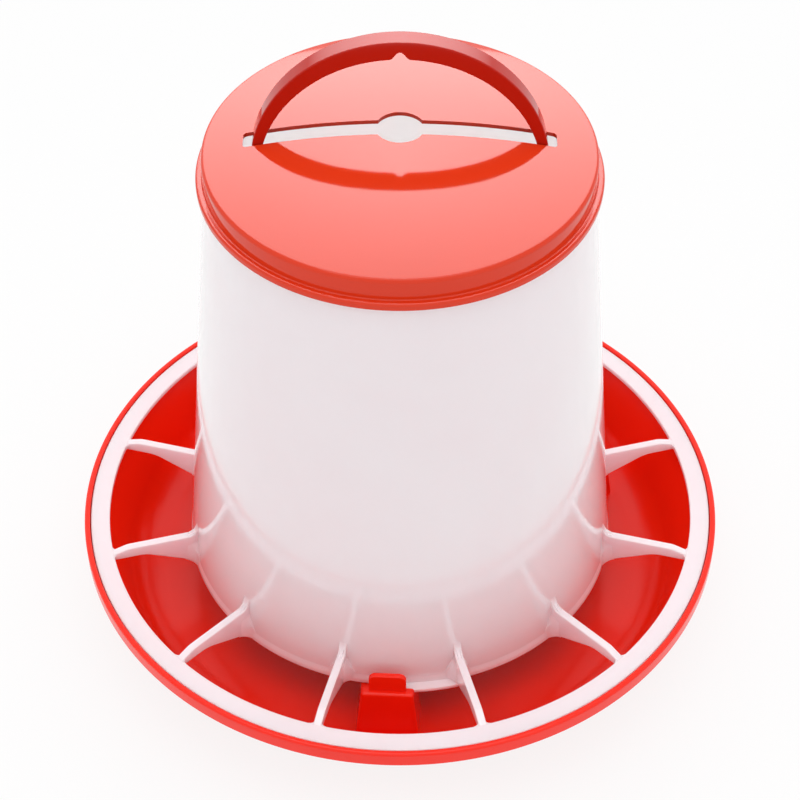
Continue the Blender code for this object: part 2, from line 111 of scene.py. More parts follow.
class FeederTraySizes(bpy.types.PropertyGroup):
    radius: length("Radius", "Outer radius of the pan's rim", 135.0 * MM)
    height: length("Height", "Height of the rim above the ground", 38.6 * MM)
    wall: length("Wall", "Thickness of the pan's wall", 1.8 * MM)
    floor: length("Floor", "Thickness of the pan's floor", 2.2 * MM)
    slope: turn_angle("Wall slope", "Slope of the pan's wall", 66.0)
    bend: length("Wall bend", "Radius between the floor and the wall", 16.0 * MM)
    rim: length("Rim", "Width of the rim", 2.4 * MM)
    lip: length("Lip", "Drop of the rim's outer lip", 7.0 * MM)
    ledge: length("Ledge", "Width of the ledge that the ring lies on", 4.2 * MM)
    cone_height: length("Cone height", "Height of the spreading cone's tip", 40.0 * MM)
    cone_foot: length("Cone foot", "Radius of the spreading cone's foot", 60.0 * MM)
    cone_tip: length("Cone tip", "Radius of the spreading cone's flat tip", 7.0 * MM)
    lug_turn: turn_angle("Lug turn", "Turn of the first lug from the front", -3.0)
    lug_width: length("Lug width", "Width of a lug's block", 21.0 * MM)
    lug_draft: length("Lug draft", "Spread of a lug's block at its foot", 2.7 * MM)
    lug_rise: length("Lug wall", "Height of the wall in front of a lug's pocket", 4.8 * MM)
    tab_width: length("Tab width", "Width of a lug's tab", 15.0 * MM)
    tab_height: length("Tab height", "Height of a lug's tab above its block", 14.0 * MM)
    tab_thick: length("Tab thickness", "Thickness of a lug's tab", 2.2 * MM)
    stop_width: length("Stop width", "Width of the stop that ends the hopper's turn", 7.2 * MM)


class FeederHopperSizes(bpy.types.PropertyGroup):
    radius: length("Foot radius", "Outer radius of the hopper's lower edge", 90.0 * MM)
    top_radius: length("Top radius", "Outer radius of the hopper's shoulder", 73.0 * MM)
    bottom_z: length("Foot height", "Height of the hopper's lower edge", 23.3 * MM)
    shoulder_z: length("Shoulder height", "Height of the shoulder that the lid sits on", 214.2 * MM)
    wall: length("Wall", "Thickness of the hopper's wall", 1.6 * MM)
    hem: length("Hem", "Height of the thicker lower edge", 2.4 * MM)
    hem_proud: length("Hem proud", "How far the lower edge stands out", 0.5 * MM)
    neck_step: length("Neck step", "Width of the shoulder", 2.5 * MM)
    neck: length("Neck", "Height of the neck above the shoulder", 7.6 * MM)
    ring_z: length("Ring height", "Height of the top of the grille's ring", 38.0 * MM)
    ring_width: length("Ring width", "Width of the grille's ring", 8.0 * MM)
    ring_thick: length("Ring thickness", "Thickness of the grille's ring", 2.4 * MM)
    web: length("Web", "Thickness of a web", 3.2 * MM)
    web_flare: length("Web flare", "Rounding in the corners between a web and the ring", 2.2 * MM)
    web_root: length("Web root", "Rounding in the corners between a web and the hopper", 5.0 * MM)
    web_rise: length("Web rise", "How far the webs stand above the ring", 2.0 * MM)
    web_depth: length("Web depth", "Depth of a web where it meets the ring", 5.4 * MM)
    web_level: length("Web level", "Length of the web's level part", 13.0 * MM)
    flange: length("Flange", "How far a bayonet flange stands out", 4.1 * MM)
    flange_thick: length("Flange thickness", "Thickness of a bayonet flange", 2.0 * MM)
    flange_arc: turn_angle("Flange arc", "Length of a bayonet flange round the hopper", 17.5)


class FeederLidSizes(bpy.types.PropertyGroup):
    radius: length("Radius", "Outer radius of the lid's flange", 75.3 * MM)
    wall: length("Wall", "Thickness of the lid", 1.6 * MM)
    step: length("Flange step", "How far the flange stands out", 2.5 * MM)
    flange: length("Flange", "Thickness of the flange", 3.0 * MM)
    edge: length("Edge height", "Height of the dome's edge above the seat", 11.5 * MM)
    rise: length("Dome rise", "Rise of the dome above its edge", 10.0 * MM)
    fillet: length("Edge rounding", "Rounding between the dome and the wall", 4.3 * MM)
    slot_length: length("Slot length", "Length of the slot for the handle", 114.4 * MM)
    slot_width: length("Slot width", "Width of the slot for the handle", 8.3 * MM)
    hole: length("Hole radius", "Radius of the round middle of the slot", 9.0 * MM)


class FeederHandleSizes(bpy.types.PropertyGroup):
    radius: length("Outer radius", "Radius of the arch outside", 54.6 * MM)
    inner: length("Inner radius", "Radius of the arch inside", 51.7 * MM)
    apex_z: length("Top", "Height of the top of the arch", 275.1 * MM)
    grip: length("Grip", "Depth of the arch at its top", 7.3 * MM)
    depth: length("Width", "Width of the arch from front to back", 7.3 * MM)
    notch_width: length("Notch width", "Width of the hanging notch", 6.5 * MM)
    notch_depth: length("Notch depth", "Depth of the hanging notch", 3.0 * MM)
    edge: length("Edge rounding", "Rounding of the arch's edges", 0.45 * MM)
    foot: length("Foot", "Height of the feet inside the neck", 5.0 * MM)
    stud: length("Stud", "Radius of the studs in the neck's holes", 2.2 * MM)


class FeederLook(bpy.types.PropertyGroup):
    # Painted shade: the lid's red is darker than the pan's red, so that the lid's wall looks shaded.
    lid_shaded_red: colour("Lid red", "Colour of the lid's plastic", (0.72, 0.038, 0.008))
    # Painted shade: the handle's red is darker still, so that the handle's front face looks shaded.
    handle_shaded_red: colour("Handle red", "Colour of the handle's plastic", (0.48, 0.011, 0.003))
    pan_red: colour("Pan red", "Colour of the pan's plastic", (0.97, 0.017, 0.003))
    milky: colour("Milky white", "Colour of the hopper's plastic", (0.985, 0.82, 0.852))
    milky_depth: length("Milky depth", "How deep light goes into the hopper's outer skin", 2.5 * MM)
    milky_depth_inside: length("Milky depth inside", "How deep light goes into the inner skin", 40.0 * MM)
    gloss: level("Gloss", "Roughness of the shiny lid and handle", 0.07)
    pan_gloss: level("Pan gloss", "Roughness of the pan", 0.22)
    floor_tone: level("Floor tone", "Brightness of the floor", 0.86)
    floor_white: level("Floor white", "How white the floor looks to the camera", 0.85)
    sky: level("Sky", "Strength of the light from the horizon all round", 1.12, 10.0)
    sky_back: level("Sky behind", "How much stronger the sky is behind than at the sides", 0.1, 10.0)
    sky_fall: level("Sky fall", "How much weaker the sky is overhead than at the horizon", 0.5, 10.0)
    back_power: level("Back light", "Power of the large lamp behind in watts", 5.0, 1000.0)
    card_power: level("Gloss card", "Power of the card that shows in gloss alone in watts", 44.0, 1000.0)
    top_power: level("Top light", "Power of the lamp overhead in watts", 8.5, 1000.0)
    camera_elevation: turn_angle("Camera elevation", "Height of the view above the horizon", 45.04)
    camera_distance: length("Camera distance", "Distance from the camera to its target", 835.27 * MM)
    target_z: length("Target height", "Height of the camera's target", 96.216 * MM)
    lens: level("Lens", "Focal length of the camera in millimetres", 91.63, 500.0)


def sizes():
    """The sizes of the pan, the hopper, the lid and the handle that the scene holds."""
    scene = bpy.context.scene
    return scene.feeder_tray, scene.feeder_hopper, scene.feeder_lid, scene.feeder_handle


def rounded(corners):
    """A line of (x, y) points from (x, y, fillet radius, steps) corners; a zero radius keeps the corner."""
    points = []
    last = len(corners) - 1
    for index, (x, y, radius, steps) in enumerate(corners):
        here = Vector((x, y))
        if radius <= 0.0:
            points.append(here)
            continue
        before = Vector(corners[index - 1][:2]) - here
        after = Vector(corners[0 if index == last else index + 1][:2]) - here
        half = before.angle(after) / 2.0
        reach = min(radius / math.tan(half), 0.49 * before.length, 0.49 * after.length)
        radius = reach * math.tan(half)
        start = here + before.normalized() * reach
        end = here + after.normalized() * reach
        centre = here + (before.normalized() + after.normalized()).normalized() * (radius / math.sin(half))
        first = start - centre
        sweep = first.angle_signed(end - centre)
        for step in range(steps + 1):
            turn = Matrix.Rotation(-sweep * step / steps, 2)
            points.append(centre + turn @ first)
    return points


def arc(radius, middle, start, sweep, steps):
    """Points (x, y) along an arc whose centre is at (0, middle)."""
    turns = [start + sweep * step / steps for step in range(steps + 1)]
    return [(radius * math.cos(turn), middle + radius * math.sin(turn)) for turn in turns]


def corner_arc(steps):
    """The sine and cosine of each point along a quarter turn."""
    turns = [math.pi / 2.0 * step / steps for step in range(steps + 1)]
    return [(math.sin(turn), math.cos(turn)) for turn in turns]


def bench():
    """Leave no mode open and nothing selected before the next piece is started."""
    if bpy.context.object is not None and bpy.context.object.mode != "OBJECT":
        bpy.ops.object.mode_set(mode="OBJECT")
    bpy.ops.object.select_all(action="DESELECT")


def pick(piece):
    """Select one piece alone and make it the active one."""
    bench()
    piece.select_set(True)
    bpy.context.view_layer.objects.active = piece


def draw(name, points, closed):
    """Draw a line corner by corner, each corner extruded from the one before, and stay in edit mode."""
    bench()
    bpy.ops.mesh.primitive_plane_add(size=MM, location=points[0])
    piece = bpy.context.object
    piece.name = name
    bpy.ops.object.transform_apply(location=True, rotation=True, scale=True)
    bpy.ops.object.mode_set(mode="EDIT")
    bpy.ops.mesh.select_mode(type="VERT")
    bpy.ops.mesh.select_all(action="SELECT")
    bpy.ops.mesh.merge(type="CENTER")
    for start, end in zip(points, points[1:]):
        bpy.ops.mesh.extrude_vertices_move(TRANSFORM_OT_translate={"value": Vector(end) - Vector(start)})
    if closed:
        sketch = bmesh.from_edit_mesh(piece.data)
        for vert in sketch.verts:
            vert.select_set(len(vert.link_edges) == 1)
        bmesh.update_edit_mesh(piece.data)
        bpy.ops.mesh.edge_face_add()
    bpy.ops.mesh.select_all(action="SELECT")
    return piece


def tidy_faces():
    """Merge doubles, point every face outwards and close edit mode."""
    bpy.ops.mesh.select_all(action="SELECT")
    bpy.ops.mesh.remove_doubles(threshold=MERGE_DISTANCE)
    bpy.ops.mesh.normals_make_consistent(inside=False)
    bpy.ops.object.mode_set(mode="OBJECT")


def turned(name, section, closed):
    """Spin a section of (radius, height) points round the feeder's axis."""
    piece = draw(name, [(point.x, 0.0, point.y) for point in section], closed)
    bpy.ops.mesh.spin(steps=ROUND_STEPS, angle=math.tau, center=(0.0, 0.0, 0.0), axis=(0.0, 0.0, 1.0))
    tidy_faces()
    return piece


def slab(name, points, move):
    """Fill a drawn outline and extrude it by move."""
    piece = draw(name, points, True)
    bpy.ops.mesh.edge_face_add()
    bpy.ops.mesh.extrude_region_move(TRANSFORM_OT_translate={"value": move})
    tidy_faces()
    return piece


def soften(piece, width, segments=3):
    """Round every sharp crease of a piece."""
    pick(piece)
    bevel = piece.modifiers.new("soft edges", "BEVEL")
    bevel.width = width
    bevel.segments = segments
    bevel.limit_method = "ANGLE"
    bevel.angle_limit = BEVEL_ANGLE
    bpy.ops.object.modifier_apply(modifier=bevel.name)
    return piece


def combine(piece, other, operation, solver="EXACT"):
    """Join another solid to a piece, or cut it away, and remove it."""
    pick(piece)
    cut = piece.modifiers.new(other.name, "BOOLEAN")
    cut.operation = operation
    cut.solver = solver
    cut.object = other
    bpy.ops.object.modifier_apply(modifier=cut.name)
    bpy.data.objects.remove(other, do_unlink=True)


def round_copies(piece, count, step):
    """Copy a piece round the feeder's axis and join the copies to it."""
    copies = []
    for index in range(1, count):
        pick(piece)
        bpy.ops.object.duplicate()
        copy = bpy.context.object
        bpy.ops.object.mode_set(mode="EDIT")
        bpy.ops.mesh.select_all(action="SELECT")
        bpy.ops.transform.rotate(
            value=step * index, orient_axis="Z", orient_type="GLOBAL", center_override=(0.0, 0.0, 0.0)
        )
        bpy.ops.object.mode_set(mode="OBJECT")
        copies.append(copy)
    pick(piece)
    for copy in copies:
        copy.select_set(True)
    bpy.ops.object.join()
    return piece


def on_side(azimuth):
    """Directions outwards and sideways at an azimuth, counted from the front towards +X."""
    out = Vector((math.sin(azimuth), -math.cos(azimuth), 0.0))
    side = Vector((math.cos(azimuth), math.sin(azimuth), 0.0))
    return out, side


def up(height):
    """A step straight up."""
    return Vector((0.0, 0.0, height))


def set_in_place(piece, node, body, material):
    """Give a finished piece its shading, material and body, and hide the CAD part that it stands in for."""
    pick(piece)
    piece.data.materials.clear()
    piece.data.materials.append(material)
    bpy.ops.object.shade_smooth_by_angle(angle=CREASE_ANGLE)
    even = piece.modifiers.new("even shading", "WEIGHTED_NORMAL")
    even.keep_sharp = True
    bpy.ops.object.modifier_apply(modifier=even.name)
    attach(piece, body)
    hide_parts(node)


def feed(tree, socket, value):
    """Give a socket another socket's output, or a plain value."""
    if isinstance(value, bpy.types.NodeSocket):
        tree.links.new(value, socket)
    else:
        socket.default_value = value


def math_of(tree, operation, first, second):
    """The result of a math node."""
    node = tree.nodes.new("ShaderNodeMath")
    node.operation = operation
    feed(tree, node.inputs[0], first)
    feed(tree, node.inputs[1], second)
    return node.outputs["Value"]


def noise_at(tree, place, scale, detail, distortion=0.0):
    """The value of a noise at a place."""
    node = tree.nodes.new("ShaderNodeTexNoise")
    feed(tree, node.inputs["Vector"], place)
    feed(tree, node.inputs["Scale"], scale)
    node.inputs["Detail"].default_value = detail
    node.inputs["Distortion"].default_value = distortion
    return node.outputs["Fac"]


def ranged(tree, value, low, high, start=0.0, end=1.0):
    """A value that runs from start to end, spread over the range from low to high."""
    node = tree.nodes.new("ShaderNodeMapRange")
    node.inputs["From Min"].default_value = start
    node.inputs["From Max"].default_value = end
    node.inputs["To Min"].default_value = low
    node.inputs["To Max"].default_value = high
    tree.links.new(value, node.inputs["Value"])
    return node.outputs["Result"]


def object_place(tree):
    """The place on a piece, in its own coordinates."""
    return tree.nodes.new("ShaderNodeTexCoord").outputs["Object"]


def moulding_group():
    """Faint tone, gloss and height changes that moulded plastic shows, as one shared group."""
    known = bpy.data.node_groups.get("moulded plastic surface")
    if known is not None:
        return known
    group = bpy.data.node_groups.new("moulded plastic surface", "ShaderNodeTree")
    for name, kind in (("Place", "Vector"), ("Flow Size", "Float"), ("Roughness", "Float")):
        group.interface.new_socket(name=name, in_out="INPUT", socket_type="NodeSocket" + kind)
    for name in ("Tone", "Roughness", "Height"):
        group.interface.new_socket(name=name, in_out="OUTPUT", socket_type="NodeSocketFloat")
    inside = group.nodes.new("NodeGroupInput")
    outside = group.nodes.new("NodeGroupOutput")
    place = inside.outputs["Place"]

    streaks = noise_at(group, place, inside.outputs["Flow Size"], 3.0, 0.6)
    tone = ranged(group, streaks, 0.955, 1.03, 0.25, 0.75)
    skin = noise_at(group, place, 420.0, 2.0)
    change = ranged(group, skin, 0.82, 1.2)
    rough = math_of(group, "MULTIPLY", inside.outputs["Roughness"], change)
    wave = noise_at(group, place, 38.0, 1.0)

    group.links.new(tone, outside.inputs["Tone"])
    group.links.new(rough, outside.inputs["Roughness"])
    group.links.new(wave, outside.inputs["Height"])
    return group


def plastic(name, base, roughness, flow_size, ripple, shader_values):
    """A moulded plastic: base colour with flow tones, uneven gloss and a faint ripple."""
    known = bpy.data.materials.get(name)
    if known is not None:
        return known
    material = bpy.data.materials.new(name)
    material.use_nodes = True
    tree = material.node_tree
    nodes, links = tree.nodes, tree.links
    shader = nodes["Principled BSDF"]
    shader.inputs["IOR"].default_value = PLASTIC_IOR
    for socket, value in shader_values.items():
        shader.inputs[socket].default_value = value
    surface = nodes.new("ShaderNodeGroup")
    surface.node_tree = moulding_group()
    surface.inputs["Flow Size"].default_value = flow_size
    surface.inputs["Roughness"].default_value = roughness
    links.new(object_place(tree), surface.inputs["Place"])
    shade = nodes.new("ShaderNodeVectorMath")
    shade.operation = "SCALE"
    shade.inputs[0].default_value = base
    links.new(surface.outputs["Tone"], shade.inputs["Scale"])
    links.new(shade.outputs["Vector"], shader.inputs["Base Color"])
    links.new(surface.outputs["Roughness"], shader.inputs["Roughness"])
    bump = nodes.new("ShaderNodeBump")
    bump.inputs["Strength"].default_value = 0.35
    bump.inputs["Distance"].default_value = ripple
    links.new(surface.outputs["Height"], bump.inputs["Height"])
    links.new(bump.outputs["Normal"], shader.inputs["Normal"])
    material.diffuse_color = (*base, 1.0)
    return material


def lid_shaded_red():
    """The high-gloss orange red of the lid, darkened below the pan's red as painted shade for the lid's
    wall.
    """
    look = bpy.context.scene.feeder_look
    shine = {"Specular IOR Level": 0.3}
    return plastic("high-gloss lid red darkened as painted shade", tuple(look.lid_shaded_red), look.gloss, 11.0, 0.04 * MM, shine)


def handle_shaded_red():
    """A glossy red for the handle, darker than the lid's red as painted shade for the handle's front face.
    """
    look = bpy.context.scene.feeder_look
    shine = {"Specular IOR Level": 0.25}
    return plastic("handle red darkened as painted shade", tuple(look.handle_shaded_red), look.gloss, 13.0, 0.03 * MM, shine)


def pan_red():
    """The softer gloss of the red pan."""
    look = bpy.context.scene.feeder_look
    shine = {"Specular IOR Level": 0.35}
    return plastic("glossy red pan plastic", tuple(look.pan_red), look.pan_gloss, 16.0, 0.06 * MM, shine)


def inside_mask(tree, hopper):
    """A mask that is 1 on the hopper's inner skin and 0 on its outer skin, webs and ring."""
    place = object_place(tree)
    flat = tree.nodes.new("ShaderNodeVectorMath")
    flat.operation = "MULTIPLY"
    flat.inputs[1].default_value = (1.0, 1.0, 0.0)
    tree.links.new(place, flat.inputs[0])
    far = tree.nodes.new("ShaderNodeVectorMath")
    far.operation = "LENGTH"
    tree.links.new(flat.outputs["Vector"], far.inputs[0])
    parts = tree.nodes.new("ShaderNodeSeparateXYZ")
    tree.links.new(place, parts.inputs["Vector"])
    half = hopper.wall / 2.0
    middle = ranged(
        tree,
        parts.outputs["Z"],
        hopper.radius - half,
        hopper.top_radius - half,
        hopper.bottom_z,
        hopper.shoulder_z,
    )
    return math_of(tree, "LESS_THAN", far.outputs["Value"], middle)


def milky_white():
    """The milky white of the hopper, which lets the light behind it through to its inner skin."""
    look = bpy.context.scene.feeder_look
    values = {
        "Subsurface Weight": 1.0,
        "Subsurface Radius": (1.0, 0.92, 0.92),
        "Coat Weight": 1.0,
        "Coat Roughness": 0.1,
        "Coat IOR": PLASTIC_IOR,
    }
    material = plastic("milky white plastic", tuple(look.milky), 0.16, 9.0, 0.05 * MM, values)
    tree = material.node_tree
    depth = ranged(tree, inside_mask(tree, sizes()[1]), look.milky_depth, look.milky_depth_inside)
    tree.links.new(depth, tree.nodes["Principled BSDF"].inputs["Subsurface Scale"])
    return material


def rim_inner(tray):
    """Inner radius of the pan's rim."""
    return tray.radius - tray.rim


def ring_outer(tray):
    """Outer radius of the grille's ring, inside the rim."""
    return rim_inner(tray) - SEAT_GAP


def flange_radius(hopper):
    """Outer radius of the bayonet flanges."""
    return hopper.radius + hopper.flange


def hopper_radius(hopper, height):
    """Outer radius of the hopper's cone at a height."""
    share = (height - hopper.bottom_z) / (hopper.shoulder_z - hopper.bottom_z)
    return hopper.radius + (hopper.top_radius - hopper.radius) * share


def tray_section(tray, hopper):
    """Section of the pan from the cone's tip over the rim to the underside."""
    lean = 1.0 / math.tan(tray.slope)
    ledge = hopper.ring_z - hopper.ring_thick - SEAT_GAP
    ledge_in = rim_inner(tray) - tray.ledge
    foot = ledge_in - (ledge - tray.floor) * lean
    skin = tray.wall / math.sin(tray.slope)
    under = ledge - tray.wall
    lip = tray.height - tray.lip
    slope = math.atan2(tray.cone_height - tray.floor, tray.cone_foot - tray.cone_tip)
    cone_skin = tray.wall / math.sin(slope)
    cone_foot = tray.cone_foot + tray.floor / math.tan(slope) - cone_skin
    cone_tip = tray.cone_tip + tray.wall / math.tan(slope) - cone_skin
    return rounded(
        [
            (0.0, tray.cone_height, 0.0, 0),
            (tray.cone_tip, tray.cone_height, 5.0 * MM, 8),
            (tray.cone_foot, tray.floor, 12.0 * MM, 8),
            (foot, tray.floor, tray.bend, 16),
            (ledge_in, ledge, 0.8 * MM, 4),
            (rim_inner(tray), ledge, 0.25 * MM, 2),
            (rim_inner(tray), tray.height, 0.7 * MM, 5),
            (tray.radius, tray.height, 1.3 * MM, 8),
            (tray.radius, lip, 0.5 * MM, 4),
            (tray.radius - tray.wall, lip, 0.4 * MM, 3),
            (tray.radius - tray.wall, under, 0.8 * MM, 4),
            (ledge_in + skin - tray.wall * lean, under, 0.8 * MM, 4),
            (foot + skin - tray.floor * lean, 0.0, tray.bend + tray.wall, 14),
            (cone_foot, 0.0, 2.0 * MM, 4),
            (cone_tip, tray.cone_height - tray.wall, 3.0 * MM, 6),
            (0.0, tray.cone_height - tray.wall, 0.0, 0),
        ]
    )


def lug(tray, hopper):
    """One bayonet lug: drafted block with a front wall, tab with a nose over the pocket, and a stop."""
    out, side = on_side(tray.lug_turn)
    shelf = hopper.bottom_z - SEAT_GAP
    pocket_top = hopper.bottom_z + hopper.flange_thick + SEAT_GAP
    tab_inner = flange_radius(hopper) + PLAY
    nose_inner = hopper.radius + hopper.hem_proud + PLAY
    nose_low, nose_high = 1.0 * MM, 3.0 * MM
    tab_corner = 3.0 * MM
    block_outer = hopper.radius + 8.6 * MM
    block_inner = hopper.radius - 5.0 * MM
    base = tray.floor / 2.0
    top = shelf + tray.lug_rise
    half = tray.lug_width / 2.0
    half_tab = tray.tab_width / 2.0
    inset = 0.6 * MM
    wall_inner = tab_inner + inset / 2.0

    profile = [
        (block_inner, base),
        (block_outer + tray.lug_draft, base),
        (block_outer, top),
        (wall_inner, top),
        (wall_inner, shelf),
        (block_inner, shelf),
    ]
    block = slab("lug", [out * r - side * half + up(z) for r, z in profile], side * tray.lug_width)
    pick(block)
    bpy.ops.object.mode_set(mode="EDIT")
    shape = bmesh.from_edit_mesh(block.data)
    for vert in shape.verts:
        spread = tray.lug_draft * (top - vert.co.z) / (top - base)
        vert.co += side * math.copysign(spread, vert.co.dot(side))
    for edge in shape.edges:
        reach = [vert.co.dot(out) for vert in edge.verts]
        heights = [vert.co.z for vert in edge.verts]
        front = min(reach) > block_outer - inset and max(heights) > shelf
        crest = min(heights) > top - inset and max(reach) > block_outer - inset
        edge.select_set(front or crest)
    bmesh.update_edit_mesh(block.data)
    bpy.ops.mesh.bevel(offset=1.2 * MM, segments=6, affect="EDGES")
    tidy_faces()

    low = shelf - tray.floor
    tab_line = rounded(
        [
            (-half_tab, low, 0.0, 0),
            (half_tab, low, 0.0, 0),
            (half_tab, shelf + tray.tab_height, tab_corner, 10),
            (-half_tab, shelf + tray.tab_height, tab_corner, 10),
        ]
    )
    tab = slab("tab", [out * tab_inner + side * p.x + up(p.y) for p in tab_line], out * tray.tab_thick)
    soften(tab, 0.4 * MM)

    root = tab_inner + tray.tab_thick / 2.0
    nose_line = [
        (nose_inner, pocket_top),
        (root, pocket_top),
        (root, pocket_top + nose_high + tab_inner - nose_inner),
        (tab_inner, pocket_top + nose_high),
        (nose_inner, pocket_top + nose_low),
    ]
    nose_start = side * (-half_tab + inset)
    nose = slab(
        "nose", [out * r + nose_start + up(z) for r, z in nose_line], side * (tray.tab_width - 2.0 * inset)
    )
    soften(nose, 0.25 * MM, 2)

    stop_inner = nose_inner + inset / 2.0
    stop_line = [
        (stop_inner, low),
        (root, low),
        (root, pocket_top + tray.tab_thick / 2.0),
        (stop_inner, pocket_top + tray.tab_thick / 4.0),
    ]
    stop_start = side * (-half_tab + inset / 2.0)
    stop = slab(
        "stop", [out * r + stop_start + up(z) for r, z in stop_line], side * (tray.stop_width - inset)
    )
    for other in (tab, nose, stop):
        combine(block, other, "UNION")
    return block


def hopper_section(hopper):
    """Section of the hopper: hemmed foot, cone, shoulder and neck, and back down inside."""
    neck = hopper.top_radius - hopper.neck_step
    inside = neck - hopper.wall
    neck_top = hopper.shoulder_z + hopper.neck
    hem_top = hopper.bottom_z + hopper.hem
    under = hopper.shoulder_z - hopper.wall
    rows = []
    for row in range(1, CONE_ROWS):
        height = hem_top + 2.0 * hopper.hem + (hopper.shoulder_z - hem_top) * row / (CONE_ROWS + 1)
        rows.append((hopper_radius(hopper, height), height, 0.0, 0))
    return rounded(
        [
            (hopper.radius - hopper.wall, hopper.bottom_z, 0.4 * MM, 3),
            (hopper.radius + hopper.hem_proud, hopper.bottom_z, 0.8 * MM, 6),
            (hopper_radius(hopper, hem_top) + hopper.hem_proud, hem_top, 2.0 * MM, 5),
            (hopper_radius(hopper, hem_top + hopper.hem), hem_top + hopper.hem, 2.0 * MM, 5),
        ]
        + rows
        + [
            (hopper.top_radius, hopper.shoulder_z, 0.6 * MM, 5),
            (neck, hopper.shoulder_z, 0.3 * MM, 3),
            (neck, neck_top, 0.5 * MM, 4),
            (inside, neck_top, 0.5 * MM, 4),
            (inside, under, 1.0 * MM, 4),
            (hopper_radius(hopper, under) - hopper.wall, under - hopper.neck_step / 2.0, 1.5 * MM, 4),
        ]
    )


def web_line(tray, hopper):
    """Outline of one web: level on top, and arched down to the hopper's foot below."""
    top = hopper.ring_z + hopper.web_rise
    low = hopper.ring_z - hopper.web_depth + hopper.web_rise
    ring_in = ring_outer(tray) - hopper.ring_width
    end = ring_in + hopper.ring_width / 4.0
    buried = hopper.wall / 2.0
    foot_z = hopper.bottom_z + hopper.flange_thick / 4.0
    return rounded(
        [
            (hopper_radius(hopper, foot_z) - buried, foot_z, 0.0, 0),
            (ring_in - hopper.web_level, low, 14.0 * MM, 14),
            (end, low, 0.0, 0),
            (end, hopper.ring_z - hopper.ring_thick / 2.0, 0.0, 0),
            (ring_in + 0.8 * MM, hopper.ring_z - 0.2 * MM, 0.0, 0),
            (ring_in - 3.0 * hopper.web_rise, top, 8.0 * MM, 8),
            (hopper_radius(hopper, top) + hopper.web_rise, top, 3.0 * MM, 8),
            (hopper_radius(hopper, top + 4.0 * MM) - buried, top + 6.0 * MM, 0.0, 0),
        ]
    )


def web_flare(tray, hopper):
    """The rounded corners where one web runs into the ring, as one flat piece."""
    out, side = on_side(WEB_TURN / 2.0)
    ring_in = ring_outer(tray) - hopper.ring_width
    flare = hopper.web_flare
    root = hopper.web / 2.0 - 0.3 * MM
    inset = 0.2 * MM
    line = [
        (ring_in - flare + flare * sine, root + flare * (1.0 - cosine)) for sine, cosine in corner_arc(8)
    ]
    line.append((ring_in + hopper.ring_width / 2.5, line[-1][1]))
    line += [(reach, -across) for reach, across in reversed(line)]
    low = up(hopper.ring_z - hopper.ring_thick + inset)
    points = [out * reach + side * across + low for reach, across in line]
    return slab("web_flare", points, up(hopper.ring_thick - 2.0 * inset))


def web_root(hopper, hand):
    """The rounded corner where one side of a web runs into the hopper's wall; it fades out upwards."""
    out, side = on_side(WEB_TURN / 2.0)
    low = hopper.bottom_z + hopper.flange_thick / 4.0 + 0.2 * MM
    high = hopper.ring_z + 1.5 * hopper.web_rise
    wall = hopper_radius(hopper, low)
    root = hopper.web / 2.0 - 0.05 * MM
    reach = hopper.web_root
    line = [(wall + reach, -root / 2.0)]
    sunk = wall - 0.08 * MM
    for sine, cosine in corner_arc(10):
        across = root + reach * (1.0 - cosine)
        line.append((sunk + reach * (1.0 - sine) - across ** 2 / (2.0 * wall), across))
    buried = wall - 0.7 * hopper.wall
    line += [(buried, line[-1][1]), (buried, -root / 2.0)]
    points = [out * far + side * across * hand + up(low) for far, across in line]
    piece = slab("web_root", points, up(high - low))
    pick(piece)
    bpy.ops.object.mode_set(mode="EDIT")
    shape = bmesh.from_edit_mesh(piece.data)
    for vert in shape.verts:
        beyond = vert.co.dot(out) - wall
        if vert.co.z > (low + high) / 2.0:
            vert.co.z -= WEB_ROOT_FADE * hand * vert.co.dot(side) + WEB_ROOT_FALL * beyond
            vert.co += out * (hopper_radius(hopper, vert.co.z) - wall)
        else:
            vert.co.z += beyond / 2.0
    bmesh.update_edit_mesh(piece.data)
    tidy_faces()
    return piece


def flange(tray, hopper):
    """One bayonet flange on the hopper's foot."""
    reach = flange_radius(hopper)
    start = tray.lug_turn + (-tray.tab_width / 2.0 + tray.stop_width + PLAY) / reach
    steps = 16
    inner = hopper.radius - hopper.wall / 2.0
    low = up(hopper.bottom_z + hopper.hem_proud / 4.0)
    outer_points, inner_points = [], []
    for step in range(steps + 1):
        out = on_side(start + hopper.flange_arc * step / steps)[0]
        outer_points.append(out * reach + low)
        inner_points.append(out * inner + low)
    thick = hopper.flange_thick - hopper.hem_proud / 4.0
    piece = slab("flange", outer_points + inner_points[::-1], up(thick))
    return soften(piece, 0.35 * MM, 2)


def stud(hopper, name, start, reach, radius):
    """A round bar along X from start, at the height of the handle's studs."""
    bench()
    middle = (start + reach / 2.0, 0.0, hopper.shoulder_z + hopper.neck / 2.0)
    bpy.ops.mesh.primitive_cylinder_add(
        vertices=STUD_SIDES, radius=radius, depth=reach, location=middle, rotation=(0.0, math.pi / 2.0, 0.0)
    )
    bar = bpy.context.object
    bar.name = name
    bpy.ops.object.transform_apply(location=True, rotation=True, scale=True)
    return bar


